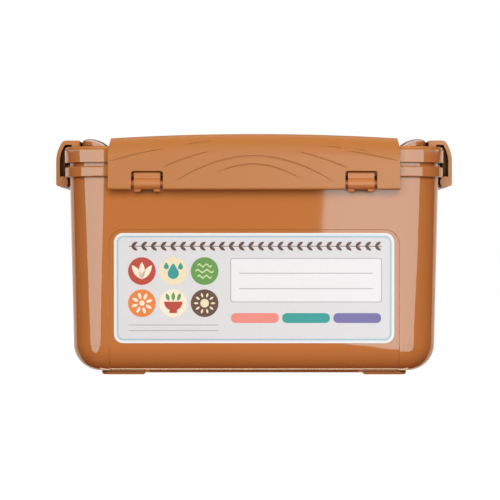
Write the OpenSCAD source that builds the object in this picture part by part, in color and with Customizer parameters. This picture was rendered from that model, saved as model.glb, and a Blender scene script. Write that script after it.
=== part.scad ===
// Fermentation container with a clasped lid and a sliding press lid.
// A rounded tub stands on four corner feet. A lid with a rubber ring covers its rim.
// Four hinged clasps on the tub hook over the lid, and two bail handles lie on top of it.
// Inside, a press lid with two folding loops and a vent plug slides down onto the food.
// Lengths are in millimetres. The front faces -Y, Z is up and the feet stand on Z = 0.

/* [Tub] */
// Outer width of the tub just below its rim band
tub_width = 226; // [190:1:320]
// Outer depth of the tub just below its rim band
tub_depth = 168; // [150:1:240]
// Height of the rim's top edge above the table
rim_top = 133.4; // [115:0.1:190]
// Radius of the upright corners at the rim band
corner_radius = 25.5; // [23:0.5:34]
// How far each wall leans in from the rim band to the base
wall_lean = 2.4; // [0.5:0.05:4]
// Wall thickness at the base
wall = 2.3; // [2:0.05:3]
// Floor thickness
floor_thickness = 2.65; // [2:0.05:4]
// Radius where the outer walls turn into the base
base_fillet = 16.5; // [10:0.5:19]
// Radius where the inner walls turn into the floor
floor_fillet = 14; // [8:0.5:18]

/* [Rim band] */
// Height of the band around the tub
band_height = 6.4; // [4:0.1:9]
// How far the band stands out from the wall
band_out = 2.8; // [1.5:0.1:3]
// Radius along the edges of the band
band_edge = 0.7; // [0.3:0.1:1.2]
// Height of the neck from the band up to the rim's edge
neck_height = 6.5; // [5.5:0.1:9]

/* [Feet] */
// Height of the corner feet below the base ring
foot_height = 1.2; // [0.6:0.1:3]
// Height of the base ring below the floor
ring_height = 1.15; // [0.6:0.05:3]
// Width of the base ring
ring_width = 4; // [2.5:0.1:5]
// How far the sides of the feet slope in
foot_slope = 0.9; // [0.3:0.1:1.2]
// Length of each foot along the sides
foot_length = 28; // [15:1:45]

/* [Label] */
// Width of the label
label_width = 169.9; // [120:0.1:172]
// Height of the label
label_height = 66.8; // [40:0.1:69]
// Height of the label's lower edge above the rounded base
label_lift = 0.75; // [0.1:0.05:2]
// Thickness of the label
label_thickness = 0.2; // [0.1:0.05:0.3]
// Thickness of the glue behind the label
label_glue = 0.05; // [0.02:0.01:0.1]
// Corner radius of the label
label_corner = 5.5; // [2:0.5:10]
// Depth of the sunken panel behind the label
panel_depth = 0.4; // [0.3:0.05:0.8]
// Free edge of the sunken panel beside the label
panel_side = 3.1; // [1:0.1:8]
// Free edge of the sunken panel above the label
panel_head = 2; // [0.5:0.1:6]

/* [Lid] */
// How far the lid's skirt stands out from the tub's wall
lid_out = 3.1; // [2.9:0.1:3.4]
// Thickness of the skirt
skirt_wall = 1.8; // [1.2:0.1:2]
// Gap between the rim band and the skirt
skirt_gap = 2.4; // [1:0.1:4]
// Thickness of the raised border
border_thickness = 2.2; // [1.6:0.1:3]
// Width of the raised border
border_width = 19.1; // [17:0.1:22]
// Depth of the sunken middle below the border
sunk_depth = 5.9; // [5:0.1:7]
// Radius along the top edge of the lid
lid_edge = 2.2; // [1:0.1:2.2]
// Radius along the inner edge of the raised border
border_edge = 1.4; // [0.5:0.1:2]
// Height of the rubber ring between rim and lid
ring_rubber = 3.35; // [2.5:0.05:5]
// Width of the rubber ring
ring_rubber_width = 4.9; // [3:0.1:5.2]

/* [Clasps] */
// Distance of the clasp hinges from the wall
hinge_out = 5.4; // [5.2:0.1:6.5]
// Distance of the front and rear hinges below the rim band
wide_hinge_drop = 4.1; // [3.5:0.1:4.5]
// Distance of the side hinges below the rim band
side_hinge_drop = 2.3; // [2:0.1:4]
// Width of the front and rear clasps
wide_clasp = 176.4; // [150:0.1:190]
// How far a wide clasp's ends slope in towards its top
clasp_taper = 1.6; // [0:0.1:2]
// Width of the side clasps
side_clasp = 84; // [72:1:100]
// Wall thickness of the clasps
clasp_wall = 2.4; // [1.8:0.1:2.6]
// Distance of the clasps' outer faces from their hinge line
clasp_face = 4.05; // [3.9:0.05:4.4]
// How far the wide clasps' faces run down below their hinge line
wide_lip = 4; // [3:0.1:4]
// How far the side clasps' faces run down below their hinge line
side_lip = 2.5; // [2:0.1:2.5]
// Radius of the barrels along the clasps' lower edges
barrel_radius = 3.6; // [3:0.1:3.6]
// How far the hooks reach in from their hinge line
hook_reach = 10.4; // [9:0.1:11]
// Length of the pad under each hook
hook_pad = 4.7; // [3:0.1:5]
// Thickness of the hooks' top plates
hook_plate = 2.7; // [2:0.1:3]
// Height of the side hooks above their pads
side_hook_height = 4.5; // [3:0.05:6]
// Height of the wide hooks above their pads at the ends
wide_hook_height = 4.15; // [2.8:0.05:5]
// Rise of the wide hooks in the middle
crown = 2.7; // [2:0.1:6]
// Distance between the two knuckles of a wide clasp
wide_knuckle_span = 129.2; // [90:0.1:140]
// Distance between the two knuckles of a side clasp
side_knuckle_span = 44; // [36:1:50]
// Length of a knuckle of a wide clasp
wide_knuckle = 16; // [12:0.5:20]
// Length of a knuckle of a side clasp
side_knuckle = 12; // [11:0.5:15]
// Radius of the hinge pins
pin_radius = 1.8; // [1.4:0.1:2]
// Depth of the grain lines in the wide clasps
grain_depth = 0.4; // [0.1:0.05:0.5]

/* [Lid handles] */
// Width of a lid handle
handle_width = 80; // [70:1:88]
// Width of a handle's arms
arm_width = 8; // [6:0.5:10]
// Thickness of a handle
handle_thickness = 2.2; // [1.8:0.1:2.6]
// Height of a folded handle's middle above the lid's border
handle_rise = 6.8; // [6:0.1:7]
// How much lower a handle is along its front and back edges
handle_crown = 2.8; // [1:0.1:2.8]
// Distance of a handle's pivots in from the lid's side
handle_pivot_in = 54.6; // [45:0.1:58]

/* [Press lid] */
// Height of the press lid's underside above the table
press_level = 92; // [75:1:94]
// Thickness of the press lid's plate
press_plate = 2.4; // [1.8:0.1:3]
// Height of the press lid's edge
press_edge = 12; // [10:0.5:16]
// Length of a folding loop from its pivot
loop_length = 28; // [22:1:28]
// Width of a folding loop
loop_width = 36; // [32:1:40]
// Radius of the vent plug's stem
plug_radius = 3; // [2:0.1:4]

/* [Fit] */
// Running gap around the pins and the plug's stem
running_gap = 0.05; // [0.02:0.01:0.1]
// Gap under the hooks and the handles' grips
rest_gap = 0.25; // [0.2:0.05:0.4]
// Gap between the rubber rings and the tub
rubber_gap = 0.15; // [0.1:0.05:0.3]
// Gap between the lid's inner rib and the tub
rib_gap = 0.4; // [0.3:0.05:0.6]
// Gap between the press lid's edge and the tub
press_gap = 1.1; // [0.8:0.05:1.4]
// Gap between the press lid's rubber lips and the tub
lip_gap = 0.3; // [0.3:0.05:0.5]
// Gap between the folding arms and the lugs that carry them
lug_gap = 0.4; // [0.3:0.05:0.6]

/* [Hidden] */
$fn = 64;
axis_x = tub_width / 2 - corner_radius;
axis_y = tub_depth / 2 - corner_radius;
floor_bottom = foot_height + ring_height;
floor_top = floor_bottom + floor_thickness;
band_top = rim_top - neck_height;
band_bottom = band_top - band_height;
base_radius = corner_radius - wall_lean;
inner_radius = base_radius - wall;
wall_start = floor_bottom + base_fillet;
lean_angle = atan(wall_lean / (band_bottom - wall_start));
wall_length = norm([wall_lean, band_bottom - wall_start]);

lid_radius = corner_radius + lid_out;
lid_ceiling = rim_top + rubber_gap + ring_rubber;
lid_top = lid_ceiling + border_thickness;
skirt_bottom = band_top + skirt_gap;
sunk_top = lid_top - sunk_depth;
sunk_bottom = sunk_top - border_thickness;
sunk_radius = lid_radius - border_width;
plug_rib_radius = inner_radius - rib_gap;
plug_rib_wall = 1.5;
plug_rib_drop = 3.4;
rubber_start = plug_rib_radius + rib_gap / 2;

wide_hinge_z = band_bottom - wide_hinge_drop;
side_hinge_z = band_bottom - side_hinge_drop;
wide_pad = lid_top + rest_gap - wide_hinge_z;
side_pad = lid_top + rest_gap - side_hinge_z;
side_top = side_pad + side_hook_height;
wide_top = wide_pad + wide_hook_height + crown;
crown_radius = (pow(wide_clasp / 2, 2) + crown * crown) / (2 * crown);
hook_curve = 22;
hook_drop = 13.2;
hook_shoulder = 3.5;
shoulder_run = sqrt(pow(hook_curve - hook_shoulder, 2) - pow(hook_drop - hook_shoulder, 2));
shoulder_angle = atan2(hook_drop - hook_shoulder, shoulder_run);
hook_ease = 0.4;
lip_edge = 1.35;
wide_knuckle_radius = barrel_radius + 0.2;
side_knuckle_radius = barrel_radius - 0.4;
side_barrel = barrel_radius - 0.15;
wide_knuckle_top = wide_hinge_drop + 1.9;
side_knuckle_top = side_hinge_drop + 3.1;
knuckle_web = 3;
knuckle_front = 2.4;
nub_radius = 1.4;
notch_side = 1.6;
notch_rise = 1.3;
notch_corner = 1.5;
pin_length = 3.5;
pin_end_gap = 0.4;
pin_root = 0.5;
bore_radius = pin_radius + running_gap;
rib_thickness = clasp_wall / 2;
rib_reach = hinge_out - lid_out - 0.5;
neck_rib_gap = 0.3;

lid_half_x = axis_x + lid_radius;
handle_x = lid_half_x - handle_pivot_in;
handle_z = sunk_top + handle_thickness * 1.5;
handle_barrel = handle_thickness * 1.32;
handle_pin = handle_thickness * 0.77;
handle_lug = arm_width * 0.9;
handle_lug_radius = handle_barrel + 0.2;
handle_pin_depth = arm_width * 0.45;
grip_outer = lid_half_x - arm_width * 1.1;
grip_land = arm_width * 0.54;
grip_nose = handle_thickness * 1.05;
grip_ease = handle_thickness * 0.23;
arch_radius = arm_width * 2.05;
arch_x = grip_outer - grip_land;
arch_top = lid_top + handle_rise - handle_crown;
arch_z = arch_top - arch_radius;
grip_corner = arm_width * 1.75;
handle_radius = (pow(handle_width / 2, 2) + handle_crown * handle_crown) / (2 * handle_crown);
handle_axis = arch_top + handle_crown - handle_radius;
arm_top = handle_z + handle_thickness / 2;
bend_radius = arm_width;
bend_z = arm_top + bend_radius;
bend_x = arch_x - sqrt(pow(arch_radius + bend_radius, 2) - pow(bend_z - arch_z, 2));
bend_angle = atan2(bend_z - arch_z, bend_x - arch_x);
grip_bottom = lid_top + rest_gap;
arm_inside = handle_width / 2 - arm_width;
opening_end = arch_x - arm_width * 2.2;
opening_start = handle_x - arm_width * 5;

press_top = press_level + press_plate;
press_radius = inner_radius - press_gap;
press_wall = press_radius - press_plate * 0.6;
press_inner = press_wall - press_plate * 0.85;
press_wiper = inner_radius - lip_gap;
press_rib = press_plate * 0.65;
groove_low = press_top + 0.2;
groove = press_edge * 0.37;
groove_high = groove_low + groove;
loop_thickness = loop_width / 10;
loop_x = loop_width / 8;
loop_z = press_top + loop_thickness;
loop_bar = loop_width * 0.14;
loop_barrel = loop_thickness * 0.72;
loop_pin = loop_thickness * 0.42;
loop_lug = loop_width / 6;
loop_pin_depth = loop_width * 0.095;
loop_arm_inside = loop_width / 2 - loop_bar;
vent_x = axis_x * 0.75;
vent_height = plug_radius * 1.35;
vent_boss = plug_radius * 2.5;
plug_head = plug_radius * 2.25;
plug_knob = plug_radius * 1.05;

terracotta = [0.76, 0.47, 0.25];
clasp_brown = [0.80, 0.54, 0.33];
rubber_white = [0.88, 0.87, 0.83];

// Points along an arc from one angle to another
function arc(center, radius, start, stop, steps) = [for (i = [0 : steps])
    center + radius * [cos(start + (stop - start) * i / steps), sin(start + (stop - start) * i / steps)]];

// The outer line of a hook: up the face, around the shoulder and in along the top
function hook_line(top, foot, inset) = concat(
    [[clasp_face - inset, foot]],
    arc([clasp_face - hook_curve, top - hook_drop], hook_curve - inset, 0, shoulder_angle, 9),
    arc([clasp_face - hook_curve + shoulder_run, top - hook_shoulder], hook_shoulder - inset,
        shoulder_angle + 8, 90, 6));

// The inner line of a hook, from its pad or plate back down to the foot of the wall
function hook_back(top, foot, plate) = concat(
    arc([clasp_face - hook_curve, top - hook_drop], hook_curve - clasp_wall,
        asin((hook_drop - plate) / (hook_curve - clasp_wall)), 0, 9),
    [[clasp_face - clasp_wall, foot]]);

// The same points with outwards along -X
function outwards(points) = [for (p = points) [-p[0], p[1]]];

// Points of a curved stroke that tapers to nothing at both ends
function stroke_side(a, b, rise, steps) = [for (i = [0 : steps])
    a + (b - a) * i / steps + [0, rise * 4 * (i / steps) * (1 - i / steps)]];

// Sweeps an edge profile around the corner axes, with a plate in the middle
module around(low, high) {
    for (c = [[1, 1, 0], [-1, 1, 90], [-1, -1, 180], [1, -1, 270]])
        translate([c[0] * axis_x, c[1] * axis_y, 0]) rotate(c[2]) rotate_extrude(angle = 90) children();
    for (turn = [0, 180]) {
        rotate(turn) translate([-axis_x, axis_y, 0]) rotate([90, 0, 90])
            linear_extrude(2 * axis_x) children();
        rotate(turn) translate([axis_x, axis_y, 0]) rotate([90, 0, 0])
            linear_extrude(2 * axis_y) children();
    }
    if (high > low)
        translate([-axis_x, -axis_y, low]) cube([2 * axis_x, 2 * axis_y, high - low]);
}

// A quarter disc in one of the four quadrants
module quarter(radius, turn) {
    rotate(turn) intersection() {
        circle(radius);
        square(radius);
    }
}

// A rectangle with rounded corners, centred on the origin
module rounded(width, height, radius) {
    square([width - 2 * radius, height], center = true);
    square([width, height - 2 * radius], center = true);
    for (x = [-1, 1], y = [-1, 1])
        translate([x * (width / 2 - radius), y * (height / 2 - radius)]) circle(radius);
}

// Places children on the front wall: X across, Y up the wall, Z out of it
module on_front_wall() {
    translate([0, -axis_y - base_radius, wall_start]) rotate([90 + lean_angle, 0, 0]) children();
}

// Places children on a side's hinge line: X along it, -Y outwards, Z up
module on_hinge(turn, half, level) {
    rotate(turn) translate([0, -half - hinge_out, level]) children();
}

// Places children on all four hinge lines of a kind
module wide_hinges() {
    for (turn = [0, 180]) on_hinge(turn, tub_depth / 2, wide_hinge_z) children();
}

module side_hinges() {
    for (turn = [90, 270]) on_hinge(turn, tub_width / 2, side_hinge_z) children();
}

// A rod along the hinge line from one X to another
module rod(from, to, radius) {
    translate([from, 0, 0]) rotate([0, 90, 0]) cylinder(h = to - from, r = radius);
}

// Two knuckles on the tub that carry a clasp's pins in blind bores, with a pair of nubs under each
module knuckles(span, length, radius, top, nub) {
    for (side = [-1, 1]) translate([side * span / 2, 0, 0]) difference() {
        union() {
            rod(-length / 2, length / 2, radius);
            translate([-length / 2, 0, 0]) rotate([90, 0, 90]) linear_extrude(length)
                polygon([[-knuckle_front, 0], [-knuckle_front, top],
                    [hinge_out - band_out, top + knuckle_web], [hinge_out + 1, top + knuckle_web],
                    [hinge_out + 1, -radius * 0.7], [0, -radius * 0.7]]);
            if (nub > 0)
                for (end = [-1, 1]) translate([end * length * 0.37, 0.4, -radius - 0.2])
                    rod(-length * 0.12, length * 0.12, nub);
        }
        rod(-length / 2 - 1, -length / 2 + pin_length + pin_end_gap, bore_radius);
        rod(length / 2 - pin_length - pin_end_gap, length / 2 + 1, bore_radius);
    }
}

// The tub's edge profile, from a corner axis outwards
module tub_profile() {
    difference() {
        union() {
            translate([0, floor_bottom]) square([base_radius - base_fillet, base_fillet]);
            translate([base_radius - base_fillet, wall_start]) quarter(base_fillet, 270);
            polygon([[0, wall_start], [base_radius, wall_start], [corner_radius, band_bottom],
                [corner_radius, rim_top], [0, rim_top]]);
            translate([0, band_bottom]) square([corner_radius + band_out - band_edge, band_height]);
            translate([0, band_bottom + band_edge])
                square([corner_radius + band_out, band_height - 2 * band_edge]);
            for (level = [band_bottom + band_edge, band_top - band_edge])
                translate([corner_radius + band_out - band_edge, level]) circle(band_edge);
        }
        translate([-1, floor_top]) square([inner_radius - floor_fillet + 1, rim_top]);
        translate([-1, floor_top + floor_fillet]) square([inner_radius + 1, rim_top]);
        translate([inner_radius - floor_fillet, floor_top + floor_fillet]) quarter(floor_fillet, 270);
    }
}

// A ring under the base whose sides slope in towards the bottom
module base_ring(low, high, slope) {
    outer = base_radius - base_fillet - 0.6;
    around(0, 0) polygon([[outer - ring_width, high], [outer - ring_width + slope, low],
        [outer - slope, low], [outer, high]]);
}

// The side of a foot, with sloping ends
module foot_side() {
    rotate([90, 0, 0]) linear_extrude(4 * foot_length, center = true)
        polygon([[-foot_length, foot_height + 0.2], [foot_slope * 1.5 - foot_length, 0],
            [foot_length - foot_slope * 1.5, 0], [foot_length, foot_height + 0.2]]);
}

module feet() {
    outer = base_radius - base_fillet;
    intersection() {
        base_ring(0, foot_height + 0.2, foot_slope);
        for (x = [-1, 1], y = [-1, 1]) translate([x * (axis_x + outer), y * (axis_y + outer), 0])
            intersection() {
                foot_side();
                rotate(90) foot_side();
            }
    }
}

// Short ribs between neck and band behind the side clasps
module neck_ribs() {
    out = hinge_out - band_out + 0.4;
    for (turn = [90, 270], place = [-0.43, 0.43]) rotate(turn)
        translate([place * side_clasp - rib_thickness / 2, out - tub_width / 2 - hinge_out, band_top - 0.5])
            cube([rib_thickness, hinge_out - out + 0.5, skirt_gap - neck_rib_gap + 0.5]);
}

// The label's sunken panel, which runs on down the rounded base
module panel() {
    half = label_width / 2 + panel_side;
    high = label_height + panel_head + 3 * base_fillet;
    top = wall_start + label_lift + label_height + panel_head;
    start = base_radius - base_fillet;
    intersection() {
        rotate(180) translate([-half - 1, axis_y, 0]) rotate([90, 0, 90]) linear_extrude(2 * half + 2)
            difference() {
                translate([start, 0]) square([3 * base_fillet, rim_top]);
                translate([start, wall_start]) quarter(base_fillet - panel_depth, 270);
                polygon([[0, wall_start], [base_radius - panel_depth, wall_start],
                    [corner_radius - panel_depth, band_bottom], [corner_radius - panel_depth, 2 * rim_top],
                    [0, 2 * rim_top]]);
            }
        translate([0, -axis_y, top - high / 2]) rotate([90, 0, 0])
            linear_extrude(2 * corner_radius) rounded(2 * half, high, label_corner + panel_side);
    }
}

module tub() {
    color(terracotta) difference() {
        union() {
            around(floor_bottom, floor_top) tub_profile();
            base_ring(foot_height, floor_bottom + 0.5, 0.5);
            feet();
            wide_hinges()
                knuckles(wide_knuckle_span, wide_knuckle, wide_knuckle_radius, wide_knuckle_top, nub_radius);
            side_hinges()
                knuckles(side_knuckle_span, side_knuckle, side_knuckle_radius, side_knuckle_top, 0);
            neck_ribs();
        }
        panel();
    }
}

module label() {
    color([0.93, 0.94, 0.94]) on_front_wall()
        translate([0, label_height / 2 + label_lift, label_glue - panel_depth])
        linear_extrude(label_thickness) rounded(label_width, label_height, label_corner);
}

// The lid's edge profile, from a corner axis outwards
module lid_profile() {
    translate([0, sunk_bottom]) square([sunk_radius + border_thickness, border_thickness]);
    translate([sunk_radius, sunk_bottom]) square([border_thickness, lid_top - border_edge - sunk_bottom]);
    translate([sunk_radius + border_edge, lid_top - border_edge]) quarter(border_edge, 90);
    translate([sunk_radius - border_edge, sunk_top]) difference() {
        square([border_edge + 0.5, border_edge]);
        translate([0, border_edge]) circle(border_edge);
    }
    translate([sunk_radius + border_edge, lid_ceiling])
        square([lid_radius - lid_edge - sunk_radius - border_edge, border_thickness]);
    translate([lid_radius - lid_edge, lid_top - lid_edge]) quarter(lid_edge, 0);
    translate([lid_radius - skirt_wall, skirt_bottom])
        square([skirt_wall, lid_top - lid_edge - skirt_bottom]);
    translate([lid_radius - lid_edge, lid_ceiling - 0.4])
        square([lid_edge, lid_top - lid_edge - lid_ceiling + 0.4]);
    translate([plug_rib_radius - plug_rib_wall, rim_top - plug_rib_drop])
        square([plug_rib_wall, lid_ceiling - rim_top + plug_rib_drop + 0.6]);
}

// A pair of lugs on the lid that carries one handle
module handle_lugs() {
    reach = handle_pin_depth + pin_end_gap;
    for (turn = [0, 180]) rotate(turn) for (side = [-1, 1])
        translate([handle_x, side * (arm_inside - lug_gap - handle_lug / 2), handle_z]) difference() {
            union() {
                rotate([90, 0, 0]) cylinder(h = handle_lug, r = handle_lug_radius, center = true);
                translate([-handle_lug_radius, -handle_lug / 2, sunk_bottom - handle_z + 0.5])
                    cube([2 * handle_lug_radius, handle_lug, handle_z - sunk_bottom - 0.5]);
            }
            translate([0, side * (handle_lug / 2 + lug_gap - reach / 2), 0]) rotate([90, 0, 0])
                cylinder(h = reach, r = handle_pin + running_gap, center = true);
        }
}

module lid() {
    color(terracotta) {
        around(sunk_bottom, sunk_top) lid_profile();
        handle_lugs();
    }
}

module lid_gasket() {
    color(rubber_white) around(0, 0) translate([rubber_start, rim_top + rubber_gap])
        square([ring_rubber_width, ring_rubber]);
}

// The barrel along a clasp's lower edge, notched for the knuckles, with a pin on each side of a notch
module clasp_hinge(span, length, top) {
    notch = length / 2 + notch_side;
    notch_top = top + notch_rise;
    difference() {
        children();
        for (side = [-1, 1]) translate([side * span / 2, 0, 0]) rotate([90, 0, 0])
            linear_extrude(30, center = true) translate([0, notch_top / 2 - 10])
                rounded(2 * notch, notch_top + 20, notch_corner);
    }
    for (side = [-1, 1]) translate([side * span / 2, 0, 0]) {
        rod(-notch - 1, -length / 2 + pin_length, pin_radius);
        rod(length / 2 - pin_length, notch + 1, pin_radius);
    }
}

// A stiffening rib on the inner face of a clasp, from its barrel up to its bend
module clasp_rib(place) {
    depth = clasp_face - clasp_wall;
    translate([place - rib_thickness / 2, 0, 0]) rotate([90, 0, 90]) linear_extrude(rib_thickness)
        polygon([[-depth - 0.5, 0], [0, 0], [0, 8], [-depth, 12], [-depth - 0.5, 12]]);
}

// A deep rib inside a side clasp, from its barrel up to its hook
module hook_rib(place) {
    top = side_top - hook_plate;
    translate([place - rib_thickness / 2, 0, 0]) rotate([90, 0, 90]) linear_extrude(rib_thickness)
        polygon(outwards(concat(
            [[-rib_reach, 0], [-rib_reach, top + 0.4]],
            arc([clasp_face - hook_curve, side_top - hook_drop], hook_curve - clasp_wall + 0.5,
                asin((hook_drop - hook_plate) / (hook_curve - clasp_wall)), 0, 9),
            [[clasp_face - clasp_wall + 0.5, 0]])));
}

// The lower edge of a clasp's face, rounded along its outer corner
module clasp_lip(half, low, high) {
    translate([-half, 0, 0]) rotate([90, 0, 90]) linear_extrude(2 * half)
        polygon(outwards(concat(
            [[clasp_face - clasp_wall, high], [clasp_face, high]],
            arc([clasp_face - lip_edge, lip_edge - low], lip_edge, 0, -90, 6),
            [[clasp_face - clasp_wall, -low]])));
}

// A clasp for a short side: one straight section along the hinge line
module short_clasp() {
    for (place = [-0.43, 0, 0.43]) hook_rib(place * side_clasp);
    clasp_hinge(side_knuckle_span, side_knuckle, side_knuckle_top) union() {
        clasp_lip(side_clasp / 2, side_lip, 1);
        translate([-side_clasp / 2, 0, 0]) rotate([90, 0, 90]) linear_extrude(side_clasp)
            polygon(outwards(concat(
                hook_line(side_top, 0, 0),
                [[hook_ease - hook_reach, side_top], [-hook_reach, side_top - hook_ease],
                    [-hook_reach, side_pad], [hook_pad - hook_reach, side_pad],
                    [hook_pad - hook_reach, side_top - hook_plate]],
                hook_back(side_top, 0, hook_plate))));
        rod(-side_clasp / 2, side_clasp / 2, side_barrel);
    }
}

// Turns a hook section about the crown's centre
module crowned() {
    angle = asin((wide_clasp / 2 + 2) / (crown_radius - 40));
    translate([0, 0, wide_top - crown_radius]) rotate([90, 0, 0])
        rotate_extrude(angle = 2 * angle, start = 90 - angle, $fn = 256) children();
}

// A hook section's points as distances from the crown's centre
function crown_points(points) = [for (p = points) [crown_radius + p[1] - wide_top, p[0]]];

// Curved grain lines, from the middle of the clasp outwards
module grain_lines() {
    w = wide_clasp / 176.4;
    for (s = [[-49, 0.2, 49, 0, 16.6, 0.9], [-23, 6.2, 28, 2.6, 7.2, 0.75], [-55, 9.8, -27, 19.2, 0.9, 0.65],
            [27, 19, 57, 9, 0.9, 0.65], [-87, 13.2, -54, 20.8, 0.9, 0.6], [56, 19.6, 87, 13.4, 0.5, 0.6],
            [44, 22.2, 53, 21.2, 0.3, 0.45], [60, 21, 68, 19.2, 0.2, 0.4], [-40, 23.6, -26, 25.6, 0.2, 0.45]])
        polygon(concat(stroke_side([s[0] * w, s[1]], [s[2] * w, s[3]], s[4], 16),
            [for (i = [15 : -1 : 1]) stroke_side([s[0] * w, s[1]], [s[2] * w, s[3]], s[4] - s[5], 16)[i]]));
}

// A crowned clasp for a long side, with grain lines in its face
module long_clasp() {
    seam = 11;
    half = wide_clasp / 2;
    taper_start = wide_pad - 3;
    taper_end = wide_pad + wide_hook_height - 0.5;
    for (place = [-2 : 2]) clasp_rib(place * wide_knuckle_span / 6);
    clasp_hinge(wide_knuckle_span, wide_knuckle, wide_knuckle_top) difference() {
        intersection() {
            union() {
                crowned() polygon(crown_points(concat(
                    hook_line(wide_top, seam - 0.4, 0),
                    [[hook_ease - hook_reach, wide_top], [-hook_reach, wide_top - hook_ease],
                        [-hook_reach, wide_top - hook_plate]],
                    hook_back(wide_top, seam - 0.4, hook_plate))));
                clasp_lip(half + 1, wide_lip, seam);
                intersection() {
                    translate([-half - 1, hook_reach - hook_pad, wide_pad])
                        cube([2 * half + 2, hook_pad, wide_top]);
                    translate([0, 0, wide_top - crown_radius]) rotate([90, 0, 0])
                        cylinder(h = 60, r = crown_radius - 1, center = true, $fn = 256);
                }
                rod(-half - 1, half + 1, barrel_radius);
            }
            rotate([90, 0, 0]) linear_extrude(60, center = true)
                polygon([[-half, -2 * barrel_radius], [half, -2 * barrel_radius], [half, taper_start],
                    [half - clasp_taper, taper_end], [half - clasp_taper, wide_top + 1],
                    [clasp_taper - half, wide_top + 1], [clasp_taper - half, taper_end],
                    [-half, taper_start]]);
        }
        intersection() {
            rotate([90, 0, 0]) linear_extrude(60, center = true) grain_lines();
            union() {
                crowned() polygon(crown_points(concat(
                    hook_line(wide_top, seam - 0.4, -0.5),
                    [for (i = [len(hook_line(wide_top, seam, 0)) - 1 : -1 : 0])
                        hook_line(wide_top, seam - 0.4, grain_depth)[i]])));
                translate([-half, -clasp_face - 0.5, -1]) cube([2 * half, 0.5 + grain_depth, seam + 1]);
            }
        }
    }
}

module front_clasp() {
    color(clasp_brown) on_hinge(0, tub_depth / 2, wide_hinge_z) long_clasp();
}

module rear_clasp() {
    color(clasp_brown) on_hinge(180, tub_depth / 2, wide_hinge_z) long_clasp();
}

module right_clasp() {
    color(clasp_brown) on_hinge(90, tub_width / 2, side_hinge_z) short_clasp();
}

module left_clasp() {
    color(clasp_brown) on_hinge(270, tub_width / 2, side_hinge_z) short_clasp();
}

// An arched section's points as distances from the handle's crown axis
function strap_points(points) = [for (p = points) [p[1] + handle_crown - handle_axis, p[0]]];

// Turns an arched section about the axis of the handle's crown, between its front and back edges
module strap() {
    angle = asin(handle_width / 2 / (handle_radius - 20));
    intersection() {
        translate([0, 0, handle_axis]) rotate([0, 90, 0])
            rotate_extrude(angle = 2 * angle, start = 180 - angle, $fn = 256) children();
        translate([0, -handle_width / 2, 0]) cube([tub_width, handle_width, 2 * lid_top]);
    }
}

// A bail handle on the right of the lid, seen from its end as an arched strap
module handle() {
    thin = handle_thickness;
    difference() {
        strap() polygon(strap_points(concat(
            [[handle_x, arm_top]],
            arc([bend_x, bend_z], bend_radius, -90, bend_angle - 180, 8),
            arc([arch_x, arch_z], arch_radius, bend_angle - 4, 83, 9),
            arc([grip_outer - grip_nose, arch_top - grip_nose * 1.07], grip_nose, 76, 0, 6),
            [[grip_outer, grip_bottom + grip_ease], [grip_outer - grip_ease, grip_bottom],
                [arch_x + grip_ease * 2.4, grip_bottom],
                [arch_x + grip_ease * 1.4, grip_bottom + grip_ease]],
            arc([arch_x, arch_z], arch_radius - thin, 87, bend_angle, 9),
            arc([bend_x, bend_z], bend_radius + thin, bend_angle - 185, -90, 8),
            [[handle_x, arm_top - thin]])));
        translate([(opening_end + opening_start) / 2, 0, handle_z]) linear_extrude(60, center = true)
            rounded(opening_end - opening_start, 2 * arm_inside, arm_width);
        for (side = [-1, 1]) translate([grip_outer - grip_corner, side * (handle_width / 2 - grip_corner), 0])
            linear_extrude(400) difference() {
                translate([0, side > 0 ? 0 : -2 * grip_corner]) square(2 * grip_corner);
                circle(grip_corner);
            }
    }
    for (side = [-1, 1]) {
        translate([handle_x, side * (handle_width / 2 - arm_width / 2), handle_z]) rotate([90, 0, 0])
            cylinder(h = arm_width, r = handle_barrel, center = true);
        translate([handle_x, side * (arm_inside + (pin_root - handle_pin_depth) / 2), handle_z])
            rotate([90, 0, 0]) cylinder(h = handle_pin_depth + pin_root, r = handle_pin, center = true);
    }
}

module right_handle() {
    color(terracotta) handle();
}

module left_handle() {
    color(terracotta) rotate(180) handle();
}

// The lugs in the middle of the press lid that carry both loops
module loop_lugs() {
    half = loop_lug / 2;
    reach = loop_pin_depth + pin_end_gap;
    for (side = [-1, 1]) translate([0, side * (loop_arm_inside - lug_gap - half), 0]) difference() {
        union() {
            translate([-loop_x, -half, press_level + 0.5])
                cube([2 * loop_x, loop_lug, loop_z + half - press_level - 0.5]);
            for (x = [-loop_x, loop_x]) translate([x, 0, 0]) {
                translate([0, 0, loop_z]) rotate([90, 0, 0]) cylinder(h = loop_lug, r = half, center = true);
                translate([-half, -half, press_level + 0.5])
                    cube([loop_lug, loop_lug, loop_z - press_level - 0.5]);
            }
        }
        for (x = [-loop_x, loop_x]) translate([x, side * (half + lug_gap - reach / 2), loop_z])
            rotate([90, 0, 0]) cylinder(h = reach, r = loop_pin + running_gap, center = true);
    }
}

// The press lid's edge profile, from a corner axis outwards
module press_profile() {
    translate([0, press_level]) square([press_wall, press_plate]);
    translate([press_inner, press_level]) square([press_wall - press_inner, press_edge]);
    translate([press_inner, press_level]) square([press_radius - press_inner, groove_low - press_level]);
    translate([press_inner, groove_high]) square([press_radius - press_inner, press_rib]);
    translate([press_rib, press_top - 0.2]) square([press_rib, press_rib]);
}

module press_lid() {
    color(terracotta) difference() {
        union() {
            around(press_level, press_top) press_profile();
            loop_lugs();
            translate([vent_x, 0, press_level + 0.5])
                cylinder(h = press_plate + vent_height - 0.5, r = vent_boss);
        }
        translate([vent_x, 0, press_level - 1]) cylinder(h = 2 * press_edge, r = plug_radius + running_gap);
    }
}

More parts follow.
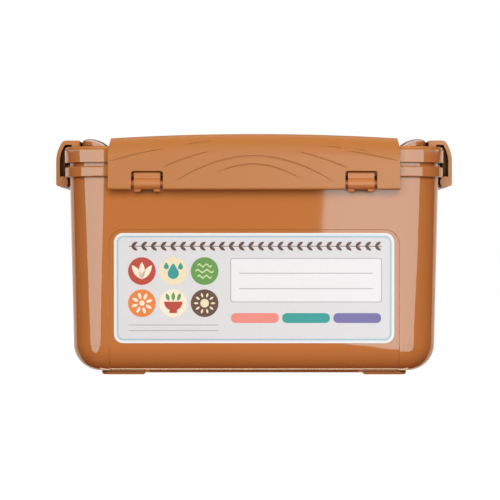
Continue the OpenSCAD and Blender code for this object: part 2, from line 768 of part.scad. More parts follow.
module press_gasket() {
    color(rubber_white) around(0, 0)
        polygon([[press_wall, groove_low], [press_radius, groove_low],
            [press_wiper, groove_low + groove * 0.14], [press_wiper, groove_low + groove * 0.3],
            [press_radius, groove_low + groove * 0.5],
            [press_wiper, groove_high - groove * 0.3], [press_wiper, groove_high - groove * 0.14],
            [press_radius, groove_high], [press_wall, groove_high]]);
}

// A folding loop on the right of the press lid, lying flat
module loop() {
    straight = loop_length - loop_width / 2;
    translate([loop_x, 0, loop_z - loop_thickness / 2]) linear_extrude(loop_thickness) difference() {
        union() {
            translate([0, -loop_width / 2]) square([straight, loop_width]);
            translate([straight, 0]) circle(loop_width / 2);
        }
        translate([-1, -loop_arm_inside]) square([straight + 1, 2 * loop_arm_inside]);
        translate([straight, 0]) circle(loop_arm_inside);
        translate([-loop_width, -loop_width]) square([loop_width, 2 * loop_width]);
    }
    for (side = [-1, 1]) {
        translate([loop_x, side * (loop_width / 2 - loop_bar / 2), loop_z]) rotate([90, 0, 0])
            cylinder(h = loop_bar, r = loop_barrel, center = true);
        translate([loop_x, side * (loop_arm_inside + (pin_root - loop_pin_depth) / 2), loop_z])
            rotate([90, 0, 0]) cylinder(h = loop_pin_depth + pin_root, r = loop_pin, center = true);
    }
}

module right_loop() {
    color(rubber_white) loop();
}

module left_loop() {
    color(rubber_white) rotate(180) loop();
}

// A soft plug in the vent, with a knob to pull it by
module vent_plug() {
    color(rubber_white) translate([vent_x, 0, press_level]) {
        cylinder(h = press_plate + vent_height + 0.5, r = plug_radius);
        translate([0, 0, press_plate + vent_height]) cylinder(h = plug_radius * 0.7, r = plug_head);
        translate([0, 0, press_plate + vent_height + plug_radius * 0.6])
            cylinder(h = plug_radius * 1.3, r1 = plug_knob * 0.75, r2 = plug_knob);
    }
}

tub();
label();
lid();
lid_gasket();
front_clasp();
rear_clasp();
left_clasp();
right_clasp();
left_handle();
right_handle();
press_lid();
press_gasket();
left_loop();
right_loop();
vent_plug();
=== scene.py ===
import math
import bpy
import bmesh
from mathutils import Matrix, Vector


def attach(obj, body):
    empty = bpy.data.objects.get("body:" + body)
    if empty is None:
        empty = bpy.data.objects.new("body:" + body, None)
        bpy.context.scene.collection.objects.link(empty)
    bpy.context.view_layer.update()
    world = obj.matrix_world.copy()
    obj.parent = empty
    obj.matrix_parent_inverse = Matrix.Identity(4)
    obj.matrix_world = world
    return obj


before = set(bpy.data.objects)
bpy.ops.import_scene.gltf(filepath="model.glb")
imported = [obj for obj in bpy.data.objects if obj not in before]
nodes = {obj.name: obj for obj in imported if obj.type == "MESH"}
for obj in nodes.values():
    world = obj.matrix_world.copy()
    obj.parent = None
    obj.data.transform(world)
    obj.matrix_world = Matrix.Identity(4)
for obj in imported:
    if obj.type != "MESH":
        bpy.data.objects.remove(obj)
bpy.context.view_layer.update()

# Sizes on the object are in millimetres, and this turns them into metres
MM = 0.001

# The tub as in the CAD model: its corner axes, its base, where the walls start, and how they lean
AXIS_X = 87.5
AXIS_Y = 58.5
BASE_RADIUS = 23.1
BASE_FILLET = 16.5
WALL_START = 18.85
WALL_SPREAD = 2.4
WALL_RISE = 101.65
LEAN = math.atan(WALL_SPREAD / WALL_RISE)

# The middles of the tub's clasp knuckles, and how far round each the satin skin reaches
KNUCKLE_X = 64.6
KNUCKLE_Y = 22.0
KNUCKLE_Z = 118.0
WIDE_REACH = 9.6
SIDE_REACH = 7.6
KNUCKLE_RISE = 6.5

# The heights of the neck's open band, kept clear of the painted gap shade, and of its band close under the
# lid, whose gloss is dimmed as painted shade, and half the height of each
NECK_OPEN = 127.5
NECK_PAINTED_SHADE = 130.1
NECK_RISE = 1.3

# Painted shade on the base ring: where the feet start, from the middle, and the heights where the painted
# shade sets in and is full
FOOT_START = 64.0
RING_SHADE_START = 2.9
RING_SHADE_FULL = 2.5

# Painted crevice shade: how far it looks round a spot, and with how many rays
GAP_REACH = 12.0
GAP_RAYS = 8

# Rays for the rounding of edges
EDGE_RAYS = 6

# The exact wall normal starts to count, and counts alone, where its cosine with the mesh's normal is this
ALIKE_START = 0.975
ALIKE_FULL = 0.99

# Limits that keep the exact wall normal's length and its level part above zero
LEAST_LENGTH = 1e-6
MOST_DOWN = 0.9999

# Plastic: its refraction, the gloss of each finish, the painted shade of the colour deep in gaps and on the
# base ring, the knuckles' roughness, and how much gloss the painted shade under the lid takes
PLASTIC_IOR = 1.49
GLOSS_LEVEL = 0.5
SATIN_LEVEL = 0.46
GLOSS_GAP_SHADE_TONE = 0.17
SATIN_GAP_SHADE_TONE = 0.1
RING_SHADE_TONE = 0.75
KNUCKLE_ROUGHNESS = 0.3
GLOSS_LOST_TO_PAINTED_SHADE = 0.75


# Colours

def linear(r, g, b):
    """A screen colour of 0 to 255 as the linear colour that the shaders use."""
    out = []
    for c in (r, g, b):
        c = c / 255.0
        out.append(c / 12.92 if c <= 0.04045 else ((c + 0.055) / 1.055) ** 2.4)
    return (out[0], out[1], out[2], 1.0)


def shaded(color, factor):
    return (color[0] * factor, color[1] * factor, color[2] * factor, 1.0)


# Node helpers

class Shader:
    """A material and its nodes. A value is a plain number or colour, or another node's output."""

    def __init__(self, name):
        self.material = bpy.data.materials.new(name)
        self.material.use_nodes = True
        self.tree = self.material.node_tree
        self.bsdf = self.tree.nodes["Principled BSDF"]
        self.position = self.tree.nodes.new("ShaderNodeTexCoord").outputs["Object"]

    def plug(self, socket, value):
        if hasattr(value, "is_linked"):
            self.tree.links.new(value, socket)
        else:
            socket.default_value = value

    def set(self, key, value):
        self.plug(self.bsdf.inputs[key], value)

    def add(self, kind, **inputs):
        made = self.tree.nodes.new(kind)
        for key, value in inputs.items():
            self.plug(made.inputs[key.replace("_", " ")], value)
        return made

    def math(self, kind, a, b=0.0, c=0.0):
        made = self.add("ShaderNodeMath")
        made.operation = kind
        for socket, value in zip(made.inputs, (a, b, c)):
            self.plug(socket, value)
        return made.outputs[0]

    def mixed(self, kind, factor, a, b):
        """Colours (RGBA) or vectors (VECTOR), from a at factor 0 to b at factor 1."""
        made = self.add("ShaderNodeMix")
        made.data_type = kind
        ends = [s for s in made.inputs if s.type == kind and s.name in ("A", "B")]
        self.plug(made.inputs[0], factor)
        self.plug(ends[0], a)
        self.plug(ends[1], b)
        return [s for s in made.outputs if s.type == kind][0]

    def span(self, value, low, high):
        """From low where the value is 0 to high where it is 1."""
        return self.add("ShaderNodeMapRange", Value=value, To_Min=low, To_Max=high).outputs["Result"]

    def rise(self, value, start, full):
        """From 0 where the value is at the start to 1 where it is full."""
        return self.add("ShaderNodeMapRange", Value=value, From_Min=start, From_Max=full).outputs["Result"]

    def noise(self, scale, detail=2.0, rough=0.5, stretch=None):
        place = self.position
        if stretch:
            place = self.add("ShaderNodeMapping", Vector=place, Scale=stretch).outputs["Vector"]
        made = self.add("ShaderNodeTexNoise", Vector=place, Scale=scale, Detail=detail, Roughness=rough)
        return made.outputs["Fac"]

    def tones(self, value, color, dark, light, margin):
        """A darker to a lighter tone of the colour, as the value goes from margin to 1 less the margin."""
        made = self.add("ShaderNodeValToRGB", Fac=value)
        low, high = made.color_ramp.elements
        low.position = margin
        low.color = shaded(color, dark)
        high.position = 1.0 - margin
        high.color = shaded(color, light)
        return made.outputs["Color"]

    def spot(self):
        """The place on the piece, as X, Y and Z."""
        return self.add("ShaderNodeSeparateXYZ", Vector=self.position).outputs

    def beyond(self, value, limit):
        """How far a coordinate is past the limit, on either side of the middle."""
        inside = self.add("ShaderNodeClamp", Value=value, Min=-limit * MM, Max=limit * MM).outputs[0]
        return self.math("SUBTRACT", value, inside)

    def near(self, value, middle, reach):
        """1 within reach of the middle, 0 elsewhere."""
        return self.math("COMPARE", value, middle * MM, reach * MM)

    def wall_normal(self, mesh_normal):
        """The exact normal of the tub's rounded walls, where the mesh's own normal is close to it."""
        spot = self.spot()
        out_x = self.beyond(spot["X"], AXIS_X)
        out_y = self.beyond(spot["Y"], AXIS_Y)
        square = self.math("ADD", self.math("MULTIPLY", out_x, out_x), self.math("MULTIPLY", out_y, out_y))
        length = self.math("MAXIMUM", self.math("SQRT", square), LEAST_LENGTH)
        drop = self.math("DIVIDE", self.math("SUBTRACT", WALL_START * MM, spot["Z"]), BASE_FILLET * MM)
        down = self.math("MINIMUM", self.math("MAXIMUM", drop, math.sin(LEAN)), MOST_DOWN)
        level = self.math("SQRT", self.math("SUBTRACT", 1.0, self.math("MULTIPLY", down, down)))
        level = self.math("DIVIDE", level, length)
        exact = self.add("ShaderNodeCombineXYZ",
            X=self.math("MULTIPLY", out_x, level),
            Y=self.math("MULTIPLY", out_y, level),
            Z=self.math("MULTIPLY", down, -1.0)).outputs[0]
        alike = self.add("ShaderNodeVectorMath")
        alike.operation = "DOT_PRODUCT"
        self.plug(alike.inputs[0], exact)
        self.plug(alike.inputs[1], mesh_normal)
        share = self.rise(alike.outputs["Value"], ALIKE_START, ALIKE_FULL)
        return self.mixed("VECTOR", share, mesh_normal, exact)

    def bump(self, height, strength, depth, edge=0.0, walls=False):
        """A fine relief of that depth, with edges rounded to that radius, both in millimetres."""
        made = self.add("ShaderNodeBump", Height=height, Strength=strength, Distance=depth * MM)
        if edge:
            rounded = self.add("ShaderNodeBevel", Radius=edge * MM)
            rounded.samples = EDGE_RAYS
            normal = rounded.outputs["Normal"]
            self.plug(made.inputs["Normal"], self.wall_normal(normal) if walls else normal)
        return made.outputs["Normal"]

    def openness(self, shut, clear, own=True):
        """The open space at each spot, low deep in channels and gaps, of the piece's own or of any. It is
        used to paint shade into the colour and to dim the gloss there.
        """
        around = self.add("ShaderNodeAmbientOcclusion", Distance=GAP_REACH * MM)
        around.samples = GAP_RAYS
        around.only_local = own
        return self.rise(around.outputs["AO"], shut, clear)

    def painted_ring_shade(self):
        """Painted shade on the base ring, where it stands on the floor: only between the feet of the front
        and back, and below the fillet.
        """
        spot = self.spot()
        ring_shade = self.rise(spot["Z"], RING_SHADE_START * MM, RING_SHADE_FULL * MM)
        between = self.math("LESS_THAN", self.math("ABSOLUTE", spot["X"]), FOOT_START * MM)
        return self.math("MULTIPLY", ring_shade, between)

    def knuckles(self):
        """Where the tub has a satin skin: round its clasp knuckles, on all four sides."""
        spot = self.spot()
        across = self.math("ABSOLUTE", spot["X"])
        along = self.math("ABSOLUTE", spot["Y"])
        wide = self.math("MULTIPLY", self.near(across, KNUCKLE_X, WIDE_REACH),
            self.math("GREATER_THAN", along, AXIS_Y * MM))
        side = self.math("MULTIPLY", self.near(along, KNUCKLE_Y, SIDE_REACH),
            self.math("GREATER_THAN", across, AXIS_X * MM))
        level = self.near(spot["Z"], KNUCKLE_Z, KNUCKLE_RISE)
        return self.math("MULTIPLY", self.math("MAXIMUM", wide, side), level)

    def neck(self, middle):
        """The band of the tub's neck round that height."""
        return self.near(self.spot()["Z"], middle, NECK_RISE)


# Materials

def glossy_plastic(name, color, rough=(0.025, 0.045), peel=0.006, gaps=(0.2, 0.48), walls=False):
    """Moulded gloss with flow marks and orange peel, and painted shade deep in gaps. With walls it is the
    tub's, down to the painted shade on its base ring.
    """
    s = Shader(name)
    flow = s.noise(scale=9.0, detail=3.0, rough=0.55, stretch=(1.0, 1.0, 0.35))
    base = s.tones(flow, color, dark=0.97, light=1.03, margin=0.25)
    share = s.openness(*gaps)
    shine = share
    polish = s.span(s.noise(scale=60.0, detail=4.0), rough[0], rough[1])
    if walls:
        # Painted shade on the base ring: its colour darkens and its gloss goes
        ring_shade = s.painted_ring_shade()
        base = s.mixed("RGBA", ring_shade, base, shaded(color, RING_SHADE_TONE))
        share = s.math("MAXIMUM", share, s.neck(NECK_OPEN))
        shine = s.math("MULTIPLY", share, s.math("SUBTRACT", 1.0, ring_shade))
        # Painted shade close under the lid: the neck's gloss is dimmed there
        kept = s.math("MULTIPLY_ADD", s.neck(NECK_PAINTED_SHADE), -GLOSS_LOST_TO_PAINTED_SHADE, 1.0)
        shine = s.math("MULTIPLY", shine, kept)
        polish = s.math("MULTIPLY_ADD", s.knuckles(), KNUCKLE_ROUGHNESS, polish)
    # Painted shade: the colour darkens and the gloss dims deep in gaps
    s.set("Base Color", s.mixed("RGBA", share, shaded(color, GLOSS_GAP_SHADE_TONE), base))
    s.set("Specular IOR Level", s.math("MULTIPLY", shine, GLOSS_LEVEL))
    s.set("Roughness", polish)
    s.set("Normal", s.bump(s.noise(scale=420.0), peel, depth=0.2, edge=0.4, walls=walls))
    s.set("IOR", PLASTIC_IOR)
    return s.material


def satin_plastic(name, color, gaps):
    """Moulded satin with a faint pearl grain, and painted shade deep in gaps."""
    s = Shader(name)
    flow = s.noise(scale=14.0, detail=4.0, rough=0.6, stretch=(0.35, 1.0, 1.6))
    base = s.tones(flow, color, dark=0.955, light=1.04, margin=0.25)
    pearl = s.tones(s.noise(scale=2600.0, rough=0.6), color, dark=0.93, light=1.08, margin=0.3)
    share = s.openness(*gaps)
    skin = s.mixed("RGBA", 0.35, base, pearl)
    # Painted shade: the colour darkens and the gloss dims deep in gaps
    s.set("Base Color", s.mixed("RGBA", share, shaded(color, SATIN_GAP_SHADE_TONE), skin))
    s.set("Roughness", s.span(s.noise(scale=180.0, detail=3.0), 0.27, 0.33))
    s.set("Specular IOR Level", s.math("MULTIPLY", share, SATIN_LEVEL))
    s.set("Normal", s.bump(s.noise(scale=1500.0, detail=3.0), 0.04, depth=0.1, edge=0.5))
    s.set("IOR", PLASTIC_IOR)
    return s.material


def silicone(name, color):
    s = Shader(name)
    dust = s.noise(scale=300.0, detail=4.0, rough=0.6)
    s.set("Base Color", s.tones(dust, color, dark=0.94, light=1.02, margin=0.3))
    s.set("Roughness", s.span(s.noise(scale=120.0, detail=3.0), 0.42, 0.55))
    s.set("Normal", s.bump(s.noise(scale=2200.0, detail=3.0), 0.06, depth=0.1, edge=0.3))
    return s.material


def print_ink(name, color, rough=0.36):
    s = Shader(name)
    tone = s.noise(scale=900.0, detail=3.0, rough=0.6)
    s.set("Base Color", s.tones(tone, color, dark=0.98, light=1.015, margin=0.3))
    s.set("Roughness", s.span(s.noise(scale=500.0), rough - 0.03, rough + 0.04))
    s.set("Normal", s.bump(s.noise(scale=2500.0), 0.02, depth=0.05))
    return s.material


TUB = linear(189, 118, 61)
CLASP = linear(181, 115, 57)
tub_plastic = glossy_plastic("tub_plastic", TUB, gaps=(0.42, 0.7), walls=True)
lid_plastic = glossy_plastic("lid_plastic", TUB)
handle_plastic = glossy_plastic("handle_plastic", TUB, rough=(0.06, 0.1))
press_plastic = glossy_plastic("press_plastic", shaded(TUB, 0.97), rough=(0.10, 0.16), peel=0.03)
loop_plastic = glossy_plastic("loop_plastic", linear(226, 214, 194), rough=(0.14, 0.2))
clasp_plastic = satin_plastic("clasp_plastic", CLASP, gaps=(0.05, 0.25))
side_plastic = satin_plastic("side_clasp_plastic", CLASP, gaps=(0.3, 0.62, False))
gasket_rubber = silicone("gasket_rubber", linear(226, 222, 212))
film = print_ink("label_film", linear(226, 227, 225), rough=0.34)

finish = {
    "tub": tub_plastic, "lid": lid_plastic, "lid_gasket": gasket_rubber, "label": film,
    "front_clasp": clasp_plastic, "rear_clasp": clasp_plastic, "left_clasp": side_plastic,
    "right_clasp": side_plastic, "left_handle": handle_plastic, "right_handle": handle_plastic,
    "press_lid": press_plastic, "press_gasket": gasket_rubber, "left_loop": loop_plastic,
    "right_loop": loop_plastic, "vent_plug": gasket_rubber,
}
for name, material in finish.items():
    node = nodes[name]
    node.data.materials.clear()
    node.data.materials.append(material)


# The label's print: thin ink layers, in millimetres across the middle and up the front wall from its start

WALL = Matrix.Translation(Vector((0, -(AXIS_Y + BASE_RADIUS), WALL_START)) * MM) @ \
    Matrix.Rotation(math.pi / 2 + LEAN, 4, "X")
FILM_TOP = -0.15
INK_ROOT = 0.01
INK_STEP = 0.02


def turns(count, start=0.0):
    """Angles that are evenly spread over a full turn."""
    return [start + 2 * math.pi * i / count for i in range(count)]


def round_rect(x0, y0, x1, y1, r, steps=8):
    points = []
    corners = ((x1 - r, y1 - r), (x0 + r, y1 - r), (x0 + r, y0 + r), (x1 - r, y0 + r))
    for quarter, (cx, cy) in enumerate(corners):
        for i in range(steps + 1):
            a = math.radians(90 * quarter + 90 * i / steps)
            points.append((cx + r * math.cos(a), cy + r * math.sin(a)))
    return points


def stroke(x0, x1, y, thick, r=0.15):
    """A thin level line, with its lower edge at y."""
    return round_rect(x0, y, x1, y + thick, r, 2)


def oval(cx, cy, rx, ry, turn=0.0, steps=32):
    c = math.cos(turn)
    s = math.sin(turn)
    points = []
    for a in turns(steps):
        x = rx * math.cos(a)
        y = ry * math.sin(a)
        points.append((cx + x * c - y * s, cy + x * s + y * c))
    return points


def leaf(cx, cy, length, width, degrees, steps=12):
    """A pointed leaf that starts at the place given."""
    c = math.cos(math.radians(degrees))
    s = math.sin(math.radians(degrees))
    side = [(length * i / steps, width * math.sin(math.pi * i / steps) ** 0.85 / 2) for i in range(steps + 1)]
    points = side + [(x, -y) for x, y in reversed(side[1:-1])]
    return [(cx + x * c - y * s, cy + x * s + y * c) for x, y in points]


def drop(cx, cy, r, steps=24):
    """A circle that is drawn out to a point at the top."""
    points = []
    for a in turns(steps):
        pull = 1 + 0.75 * max(0.0, math.cos(a)) ** 6
        points.append((cx - r * math.sin(a), cy + r * pull * math.cos(a)))
    return points


def wave(cx, cy, length, rise, thick, steps=20):
    """A wavy line of two full waves."""
    upper = []
    lower = []
    for i in range(steps + 1):
        t = i / steps
        x = cx + (t - 0.5) * length
        y = cy + rise * math.sin(t * 4 * math.pi)
        upper.append((x, y + thick / 2))
        lower.append((x, y - thick / 2))
    return upper + lower[::-1]


def ink(name, shapes, layer, material):
    """Flat shapes of one ink, each layer a little above the last. A pair of outlines is a ring."""
    mesh = bmesh.new()
    low = FILM_TOP - INK_ROOT
    high = FILM_TOP + INK_STEP * layer

    def level(points, z):
        return [mesh.verts.new((x * MM, y * MM, z * MM)) for x, y in points]

    def walls(top, bottom):
        n = len(top)
        for i in range(n):
            j = (i + 1) % n
            mesh.faces.new((top[j], top[i], bottom[i], bottom[j]))

    for shape in shapes:
        if isinstance(shape, tuple):
            outer = level(shape[0], high)
            inner = level(shape[1], high)
            n = len(outer)
            for i in range(n):
                j = (i + 1) % n
                mesh.faces.new((outer[i], outer[j], inner[j], inner[i]))
            walls(outer, level(shape[0], low))
            walls(inner[::-1], level(shape[1][::-1], low))
        else:
            top = level(shape, high)
            mesh.faces.new(top)
            walls(top, level(shape, low))
    bmesh.ops.triangulate(mesh, faces=[f for f in mesh.faces if len(f.verts) > 4])
    data = bpy.data.meshes.new(name)
    mesh.to_mesh(data)
    mesh.free()
    data.transform(WALL)
    made = bpy.data.objects.new(name, data)
    bpy.context.scene.collection.objects.link(made)
    data.materials.append(material)
    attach(made, "tub")


inks = {
    "blue": (166, 191, 198), "grey": (213, 212, 211), "white": (228, 227, 226), "rule": (150, 150, 154),
    "brown": (94, 58, 44), "salmon": (228, 132, 118), "teal": (46, 144, 136), "violet": (112, 100, 152),
    "orange": (222, 124, 52), "red": (178, 62, 40), "green": (96, 142, 62), "cream": (232, 216, 178),
    "leaf": (190, 208, 150), "sand": (240, 226, 200),
}
ink_of = {key: print_ink("ink_" + key, linear(*rgb)) for key, rgb in inks.items()}

# A blue line a little inside the label's edge, and the grey field within it
LABEL_W = 169.9
LABEL_H = 66.8
LABEL_MID = 34.15
LINE_INSET = 1.6
LINE_RADIUS = 4.2
FIELD_INSET = 2.75
FIELD_RADIUS = 3.2


def label_outline(inset, radius):
    x = LABEL_W / 2 - inset
    y = LABEL_H / 2 - inset
    return round_rect(-x, LABEL_MID - y, x, LABEL_MID + y, radius)


field = label_outline(FIELD_INSET, FIELD_RADIUS)
ink("label_line", [(label_outline(LINE_INSET, LINE_RADIUS), field)], 1, ink_of["blue"])
ink("label_field", [field], 1, ink_of["grey"])

# A write-on box with two ruled lines on the right
BOX_LEFT = -14
BOX_RIGHT = 77
BOX_LOW = 26
BOX_HIGH = 52
BOX_RADIUS = 1.4
BOX_EDGE = 0.4
EDGE_RADIUS = 1.7
RULE_INSET = 5
RULE_HEIGHTS = (43, 33.6)
RULE_THICK = 0.4
box = round_rect(BOX_LEFT, BOX_LOW, BOX_RIGHT, BOX_HIGH, BOX_RADIUS)
box_edge = round_rect(BOX_LEFT - BOX_EDGE, BOX_LOW - BOX_EDGE, BOX_RIGHT + BOX_EDGE, BOX_HIGH + BOX_EDGE,
    EDGE_RADIUS)
rules = [stroke(BOX_LEFT + RULE_INSET, BOX_RIGHT - RULE_INSET, y, RULE_THICK) for y in RULE_HEIGHTS]
ink("label_box", [box], 2, ink_of["white"])
ink("label_box_edge", [(box_edge, box)], 2, ink_of["rule"])
ink("label_rules", rules, 3, ink_of["rule"])

# A row of paired leaves on a stem along the top
PRINT_LEFT = -76
STEM_RIGHT = 77.5
STEM_LOW = 59.35
STEM_THICK = 0.45
STEM_RADIUS = 0.2
LEAF_START = -74.4
LEAF_PITCH = 5.9
LEAF_HEIGHT = 59.6
LEAF_COUNT = 26
LEAF_LENGTH = 4.6
LEAF_WIDTH = 1.9
LEAF_TURN = 36
sprig = [stroke(PRINT_LEFT, STEM_RIGHT, STEM_LOW, STEM_THICK, STEM_RADIUS)]
for i in range(LEAF_COUNT):
    for degrees in (LEAF_TURN, -LEAF_TURN):
        sprig.append(leaf(LEAF_START + i * LEAF_PITCH, LEAF_HEIGHT, LEAF_LENGTH, LEAF_WIDTH, degrees))
ink("label_sprig", sprig, 2, ink_of["brown"])

# Three plain tags under the box
TAG_PITCH = 31
TAG_WIDTH = 29
TAG_LOW = 13
TAG_HIGH = 19
TAG_RADIUS = 2.8
for i, key in enumerate(("salmon", "teal", "violet")):
    x = BOX_LEFT + i * TAG_PITCH
    ink("label_tag_" + key, [round_rect(x, TAG_LOW, x + TAG_WIDTH, TAG_HIGH, TAG_RADIUS)], 2, ink_of[key])

# Six round pictures on the left, in two rows of three: leaves, drops and waves, then seeds, a bowl and a sun
ROUND_RADIUS = 8.4
ROUND_START = -68
ROUND_PITCH = 19
ROUND_HEIGHTS = (44.5, 25)
SEED_RING = 4.6
SEED_COUNT = 8
SEED_TURN = 0.3
BOWL_RADIUS = 5.6
BOWL_STEPS = 16
RAY_RING = 3.6
RAY_COUNT = 10
round_at = {}
for i, key in enumerate(("red", "cream", "green", "orange", "sand", "brown")):
    round_at[key] = (ROUND_START + ROUND_PITCH * (i % 3), ROUND_HEIGHTS[i // 3])
    ink("label_round_" + key, [oval(*round_at[key], ROUND_RADIUS, ROUND_RADIUS, steps=40)], 2, ink_of[key])

cx, cy = round_at["red"]
ink("label_leaves", [leaf(cx, cy - 5, 10.5, 3.6, degrees) for degrees in (90, 55, 125)], 3, ink_of["sand"])

cx, cy = round_at["cream"]
drops = [drop(cx, cy - 1.4, 3.4), drop(cx + 4.4, cy + 2.4, 1.5), drop(cx - 4.2, cy + 2.6, 1.5)]
ink("label_drops", drops, 3, ink_of["teal"])

cx, cy = round_at["green"]
waves = [wave(cx, cy + y, 11 - abs(y) * 0.7, 0.8, 1.1) for y in (-3.4, 0, 3.4)]
ink("label_waves", waves, 3, ink_of["leaf"])

cx, cy = round_at["orange"]
seeds = []
for a in turns(SEED_COUNT, SEED_TURN):
    seeds.append(oval(cx + SEED_RING * math.cos(a), cy + SEED_RING * math.sin(a), 1.9, 0.9, a))
ink("label_seeds", seeds + [oval(cx, cy, 1.6, 1.6)], 3, ink_of["sand"])

cx, cy = round_at["sand"]
half_turn = [math.pi + i * math.pi / BOWL_STEPS for i in range(BOWL_STEPS + 1)]
bowl = [(cx + BOWL_RADIUS * math.cos(a), cy + 1 + BOWL_RADIUS * math.sin(a)) for a in half_turn]
ink("label_bowl", [bowl, round_rect(cx - 2.4, cy - 6, cx + 2.4, cy - 4.2, 0.6)], 3, ink_of["red"])
greens = []
for x, length, degrees in ((-2.6, 5, 110), (0, 5.4, 90), (2.6, 5, 70)):
    greens.append(leaf(cx + x, cy + 1.4, length, 2.2, degrees))
ink("label_bowl_leaves", greens, 3, ink_of["green"])

cx, cy = round_at["brown"]
rays = []
for a in turns(RAY_COUNT):
    rays.append(leaf(cx + RAY_RING * math.cos(a), cy + RAY_RING * math.sin(a), 3, 1.3, math.degrees(a)))
ink("label_sun", [oval(cx, cy, 2.6, 2.6)] + rays, 3, ink_of["cream"])

# Two note lines under the pictures
NOTE_RIGHT = -21.6
NOTE_HEIGHTS = (11.6, 8.2)
notes = [stroke(PRINT_LEFT, NOTE_RIGHT, y, RULE_THICK) for y in NOTE_HEIGHTS]
ink("label_note_lines", notes, 2, ink_of["rule"])


# Soft light, in metres: panels that only light the surfaces, and panels that only show in the gloss

def area(name, at, aim, size, radiance, lights, tint=(1, 1, 1)):
    """A panel at a place, facing its aim, with its width and height, its radiance, and surface or gloss."""
    data = bpy.data.lights.new(name, "AREA")
    data.shape = "RECTANGLE"
    data.color = tint
    data.size = size[0]
    data.size_y = size[1]
    data.energy = radiance * math.pi * size[0] * size[1]
    made = bpy.data.objects.new(name, data)
    made.location = at
    made.rotation_euler = (Vector(aim) - Vector(at)).to_track_quat("-Z", "Y").to_euler()
    made.visible_camera = False
    made.visible_diffuse = lights == "surface"
    made.visible_glossy = lights == "gloss"
    bpy.context.scene.collection.objects.link(made)


MIDDLE = (0, 0, 0.08)
TOP = (0, 0, 0.1)
SIDES = ((-1, "left"), (1, "right"))
area("fill_front", (0, -2.6, 0.75), MIDDLE, (2.6, 1.9), 4.85, "surface", (1, 1.05, 1.1))
area("fill_low", (0, -0.5, -0.9), (0, 0, 0.05), (1.6, 0.8), 0.9, "surface", (1, 0.42, 0.2))
for side, word in SIDES:
    area("fill_" + word, (side * 2.1, -0.9, 0.6), MIDDLE, (1.6, 1.6), 1.4, "surface", (1, 0.58, 0.48))
area("fill_top", (0, 0.1, 2.2), TOP, (2.4, 2.0), 2.05, "surface")
area("fill_back", (0, 2.4, 0.9), MIDDLE, (2.4, 1.6), 2.0, "surface")
for side, word in SIDES:
    area("fill_back_" + word, (side * 1.5, 2.4, 0.7), MIDDLE, (1.6, 1.4), 6.0, "surface")
area("shine_back", (0, 2.6, -0.75), (0, 0, -0.75), (7.0, 2.0), 1.1, "gloss", (1, 0.9, 0.8))
area("shine_high", (0, 2.6, 0.73), (0, 0, 0.14), (7.0, 0.36), 0.75, "gloss", (1, 0.93, 0.88))
area("shine_top", (0, 0, 2.6), TOP, (3.0, 2.6), 0.8, "gloss")
area("shine_edge", (0, -0.0666, 0.0003), (0, -0.0666, 1), (0.19, 0.003), 3.5, "gloss", (1, 0.76, 0.5))


# Stage materials and cards

def stage_surface(name):
    """A material without its usual shader, with its nodes and the socket for its surface."""
    made = bpy.data.materials.new(name)
    made.use_nodes = True
    tree = made.node_tree
    tree.nodes.remove(tree.nodes["Principled BSDF"])
    return made, tree, tree.nodes["Material Output"].inputs["Surface"]


CARD_TINT = (0.64, 1.0, 1.04, 1)
CARD_DISTANCE = 1.5
CARD_STEPS = 12


def card(name, rows, radiance, hub=(0, 0, 0), share=1.0):
    """A bright curved card that shows only as a reflection: rows of height and of its two sides' bearings.

    A smaller share draws it in towards the hub, from where it looks the same.
    """
    points = []
    faces = []
    for z, left, right in rows:
        for i in range(CARD_STEPS + 1):
            a = math.radians(left + (right - left) * i / CARD_STEPS)
            far = Vector((CARD_DISTANCE * math.sin(a), -CARD_DISTANCE * math.cos(a), z))
            points.append(Vector(hub).lerp(far, share))
    for row in range(len(rows) - 1):
        for i in range(CARD_STEPS):
            k = row * (CARD_STEPS + 1) + i
            faces.append((k, k + 1, k + CARD_STEPS + 2, k + CARD_STEPS + 1))
    data = bpy.data.meshes.new(name)
    data.from_pydata(points, [], faces)
    made = bpy.data.objects.new(name, data)
    bpy.context.scene.collection.objects.link(made)
    bright, tree, surface = stage_surface(name)
    lamp = tree.nodes.new("ShaderNodeEmission")
    lamp.inputs["Color"].default_value = CARD_TINT
    lamp.inputs["Strength"].default_value = radiance
    tree.links.new(lamp.outputs[0], surface)
    data.materials.append(bright)
    made.visible_camera = False
    made.visible_diffuse = False
    made.visible_shadow = False
    made.visible_transmission = False


# The cards in front of the box, wider in one narrow band, and slanted below. Their feet are drawn in
# to the tub's front corners, so that little but the rounded corners mirrors them
RIGHT_CARD = 5.05
LEFT_CARD = 4.95
RIGHT_CORNER = (0.0943, -0.0806, 0.0165)
LEFT_CORNER = (-0.0969, -0.0796, 0.0165)
FOOT_SHARE = 0.05
card("shine_right", [
    (0.27, 3, 66), (0.2305, 3, 66), (0.23, 3, 120), (0.1817, 3, 120), (0.1813, 3, 66), (0.16, 3, 66),
    (0.09, 2.94, 63.5), (0.01, 2.755, 59), (-0.06, 3, 51), (-0.1, 4.2, 51), (-0.12, 4.3, 51),
    (-0.121, 4.3, 20), (-0.19, 4.7, 20), (-0.55, 5.6, 20), (-0.87, 10, 20),
], RIGHT_CARD)
card("shine_left", [
    (0.27, -80, -20), (0.2305, -80, -19), (0.23, -120, -19), (0.1817, -120, -19), (0.1813, -80, -19),
    (0.16, -80, -18.4), (0.09, -75, -20.3), (0, -68.5, -27), (-0.08, -63.2, -32.3), (-0.12, -63.2, -32.6),
], LEFT_CARD)
card("shine_right_foot", [
    (-0.115, 18, 51), (-0.19, 18, 51), (-0.55, 18, 51), (-0.87, 18, 38),
], RIGHT_CARD, RIGHT_CORNER, FOOT_SHARE)
card("shine_left_foot", [
    (-0.115, -63.2, -32.6), (-0.55, -64, -37), (-0.8, -60, -42), (-1.0, -56, -52),
], LEFT_CARD, LEFT_CORNER, FOOT_SHARE)


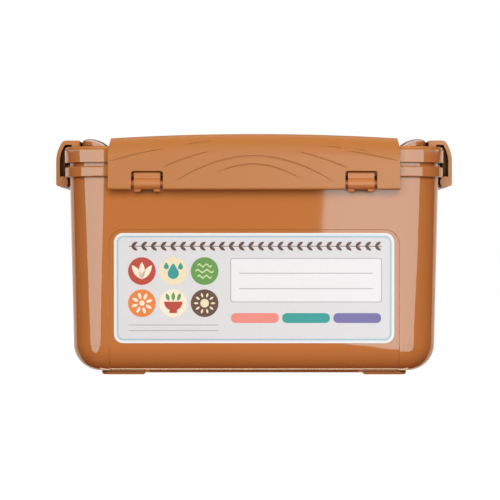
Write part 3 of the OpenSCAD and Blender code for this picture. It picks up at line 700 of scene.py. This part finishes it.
# A plain pale floor, in a plain white room that only the camera sees

FLOOR_HALF = 30
FLOOR_GLOW = 1.02
FLOOR_GREY = (0.1, 0.1, 0.1, 1)
floor_mesh = bpy.data.meshes.new("floor")
floor_corners = [(x * FLOOR_HALF, y * FLOOR_HALF, 0) for x, y in ((-1, -1), (1, -1), (1, 1), (-1, 1))]
floor_mesh.from_pydata(floor_corners, [], [(0, 1, 2, 3)])
floor = bpy.data.objects.new("floor", floor_mesh)
bpy.context.scene.collection.objects.link(floor)
pale, floor_tree, floor_surface = stage_surface("pale_floor")
glow = floor_tree.nodes.new("ShaderNodeEmission")
glow.inputs["Strength"].default_value = FLOOR_GLOW
matte = floor_tree.nodes.new("ShaderNodeBsdfDiffuse")
matte.inputs["Color"].default_value = FLOOR_GREY
both = floor_tree.nodes.new("ShaderNodeAddShader")
floor_tree.links.new(glow.outputs[0], both.inputs[0])
floor_tree.links.new(matte.outputs[0], both.inputs[1])
floor_tree.links.new(both.outputs[0], floor_surface)
floor_mesh.materials.append(pale)
floor.visible_glossy = False
floor.visible_diffuse = False
floor.visible_shadow = False

world = bpy.data.worlds.new("studio")
bpy.context.scene.world = world
world.use_nodes = True
backdrop = world.node_tree.nodes["Background"]
backdrop.inputs["Color"].default_value = (1, 1, 1, 1)
backdrop.inputs["Strength"].default_value = 1.0
world.cycles_visibility.diffuse = False
world.cycles_visibility.glossy = False


# The camera, level in front as in the photograph

CAMERA_AT = (-0.0025, -2.0, 0.0761)
CAMERA_LENS = 227.85
CAMERA_SENSOR = 36.0
CAMERA_REACH = 200.0
camera_data = bpy.data.cameras.new("camera")
camera_data.sensor_width = CAMERA_SENSOR
camera_data.lens = CAMERA_LENS
camera_data.clip_end = CAMERA_REACH
camera = bpy.data.objects.new("camera", camera_data)
camera.location = CAMERA_AT
camera.rotation_euler = (math.pi / 2, 0, 0)
bpy.context.scene.collection.objects.link(camera)
bpy.context.scene.camera = camera
bpy.context.scene.view_settings.view_transform = "Standard"
bpy.context.scene.view_settings.look = "None"
